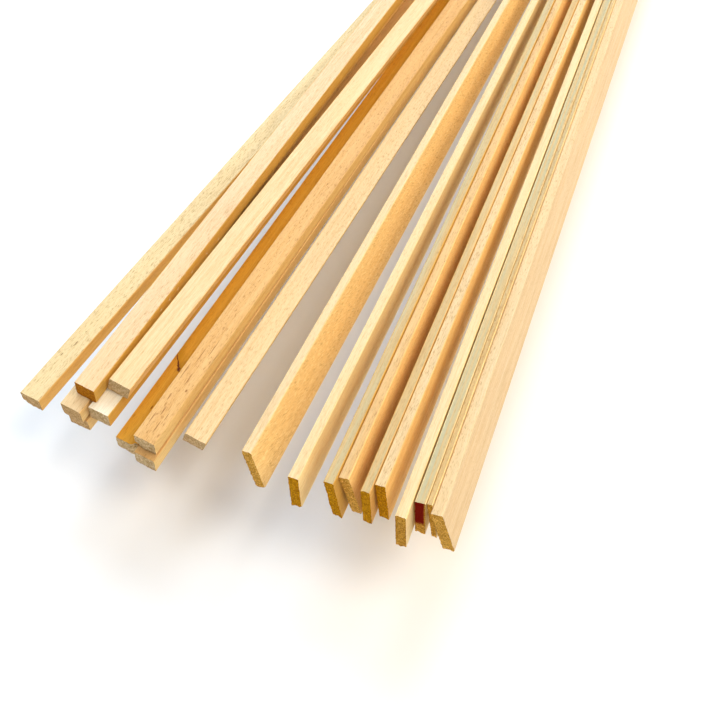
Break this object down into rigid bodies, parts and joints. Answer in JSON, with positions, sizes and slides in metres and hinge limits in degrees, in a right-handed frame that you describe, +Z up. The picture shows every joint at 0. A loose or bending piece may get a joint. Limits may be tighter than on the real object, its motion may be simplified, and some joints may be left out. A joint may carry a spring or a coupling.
{
  "type": "set of stripwood",
  "caption": "Fanned bundle of loose square-cut wooden model-making strips: narrow ones lying flat in layers, taller ones standing on edge beside them.",
  "frame": {"origin": "centre of the underside of the set, on the table it lies on", "axes": "+Y along the strips towards the end where they draw together, +Z up, narrow flat strips on the -X side"},
  "size_m": [0.0758, 0.3076, 0.0101],
  "materials": {
    "narrow_wood": "bare planed softwood with fine straight grain",
    "tall_wood": "bare planed sides with rough-sawn ends"
  },
  "bodies": {
    "narrow_strip_01": {"narrow_strip_01": "narrow_wood"},
    "narrow_strip_02": {"narrow_strip_02": "narrow_wood"},
    "narrow_strip_03": {"narrow_strip_03": "narrow_wood"},
    "narrow_strip_04": {"narrow_strip_04": "narrow_wood"},
    "narrow_strip_05": {"narrow_strip_05": "narrow_wood"},
    "narrow_strip_06": {"narrow_strip_06": "narrow_wood"},
    "narrow_strip_07": {"narrow_strip_07": "narrow_wood"},
    "narrow_strip_08": {"narrow_strip_08": "narrow_wood"},
    "narrow_strip_09": {"narrow_strip_09": "narrow_wood"},
    "narrow_strip_10": {"narrow_strip_10": "narrow_wood"},
    "tall_strip_01": {"tall_strip_01": "tall_wood"},
    "tall_strip_02": {"tall_strip_02": "tall_wood"},
    "tall_strip_03": {"tall_strip_03": "tall_wood"},
    "tall_strip_04": {"tall_strip_04": "tall_wood"},
    "tall_strip_05": {"tall_strip_05": "tall_wood"},
    "tall_strip_06": {"tall_strip_06": "tall_wood"},
    "tall_strip_07": {"tall_strip_07": "tall_wood"},
    "tall_strip_08": {"tall_strip_08": "tall_wood"},
    "tall_strip_09": {"tall_strip_09": "tall_wood"},
    "tall_strip_10": {"tall_strip_10": "tall_wood"}
  },
  "joints": [
    {"name": "narrow_strip_01_slide", "type": "slide", "parent": "narrow_strip_07", "child": "narrow_strip_01", "axis": [-0.0584, -0.9983, 0], "range_m": [0, 0.31]},
    {"name": "narrow_strip_02_slide", "type": "slide", "parent": "narrow_strip_07", "child": "narrow_strip_02", "axis": [-0.041, -0.9992, 0], "range_m": [0, 0.31]},
    {"name": "narrow_strip_03_slide", "type": "slide", "parent": "narrow_strip_07", "child": "narrow_strip_03", "axis": [0.0175, 0.9998, 0], "range_m": [0, 0.31]},
    {"name": "narrow_strip_04_slide", "type": "slide", "parent": "narrow_strip_07", "child": "narrow_strip_04", "axis": [0.0157, 0.9999, 0], "range_m": [0, 0.31]},
    {"name": "narrow_strip_05_slide", "type": "slide", "parent": "narrow_strip_07", "child": "narrow_strip_05", "axis": [-0.0401, -0.9992, 0], "range_m": [0, 0.31]},
    {"name": "narrow_strip_06_slide", "type": "slide", "parent": "narrow_strip_07", "child": "narrow_strip_06", "axis": [-0.0419, -0.9991, 0], "range_m": [0, 0.31]},
    {"name": "narrow_strip_08_slide", "type": "slide", "parent": "narrow_strip_07", "child": "narrow_strip_08", "axis": [-0.0236, -0.9997, 0], "range_m": [0, 0.31]},
    {"name": "narrow_strip_09_slide", "type": "slide", "parent": "narrow_strip_07", "child": "narrow_strip_09", "axis": [-0.027, -0.9996, 0], "range_m": [0, 0.31]},
    {"name": "narrow_strip_10_slide", "type": "slide", "parent": "narrow_strip_07", "child": "narrow_strip_10", "axis": [-0.0209, -0.9998, 0], "range_m": [0, 0.31]},
    {"name": "tall_strip_01_slide", "type": "slide", "parent": "narrow_strip_07", "child": "tall_strip_01", "axis": [0.0087, -1, 0], "range_m": [0, 0.31]},
    {"name": "tall_strip_02_slide", "type": "slide", "parent": "narrow_strip_07", "child": "tall_strip_02", "axis": [0.0236, -0.9997, 0], "range_m": [0, 0.31]},
    {"name": "tall_strip_03_slide", "type": "slide", "parent": "narrow_strip_07", "child": "tall_strip_03", "axis": [0.0349, -0.9994, 0], "range_m": [0, 0.31]},
    {"name": "tall_strip_04_slide", "type": "slide", "parent": "narrow_strip_07", "child": "tall_strip_04", "axis": [0.0349, -0.9994, 0], "range_m": [0, 0.31]},
    {"name": "tall_strip_05_slide", "type": "slide", "parent": "narrow_strip_07", "child": "tall_strip_05", "axis": [0.0358, -0.9994, 0], "range_m": [0, 0.31]},
    {"name": "tall_strip_06_slide", "type": "slide", "parent": "narrow_strip_07", "child": "tall_strip_06", "axis": [0.0358, -0.9994, 0], "range_m": [0, 0.31]},
    {"name": "tall_strip_07_slide", "type": "slide", "parent": "narrow_strip_07", "child": "tall_strip_07", "axis": [0.0427, -0.9991, 0], "range_m": [0, 0.31]},
    {"name": "tall_strip_08_slide", "type": "slide", "parent": "narrow_strip_07", "child": "tall_strip_08", "axis": [0.0427, -0.9991, 0], "range_m": [0, 0.31]},
    {"name": "tall_strip_09_slide", "type": "slide", "parent": "narrow_strip_07", "child": "tall_strip_09", "axis": [0.0427, -0.9991, 0], "range_m": [0, 0.31]},
    {"name": "tall_strip_10_slide", "type": "slide", "parent": "narrow_strip_07", "child": "tall_strip_10", "axis": [0.0427, -0.9991, 0], "range_m": [0, 0.31]}
  ]
}
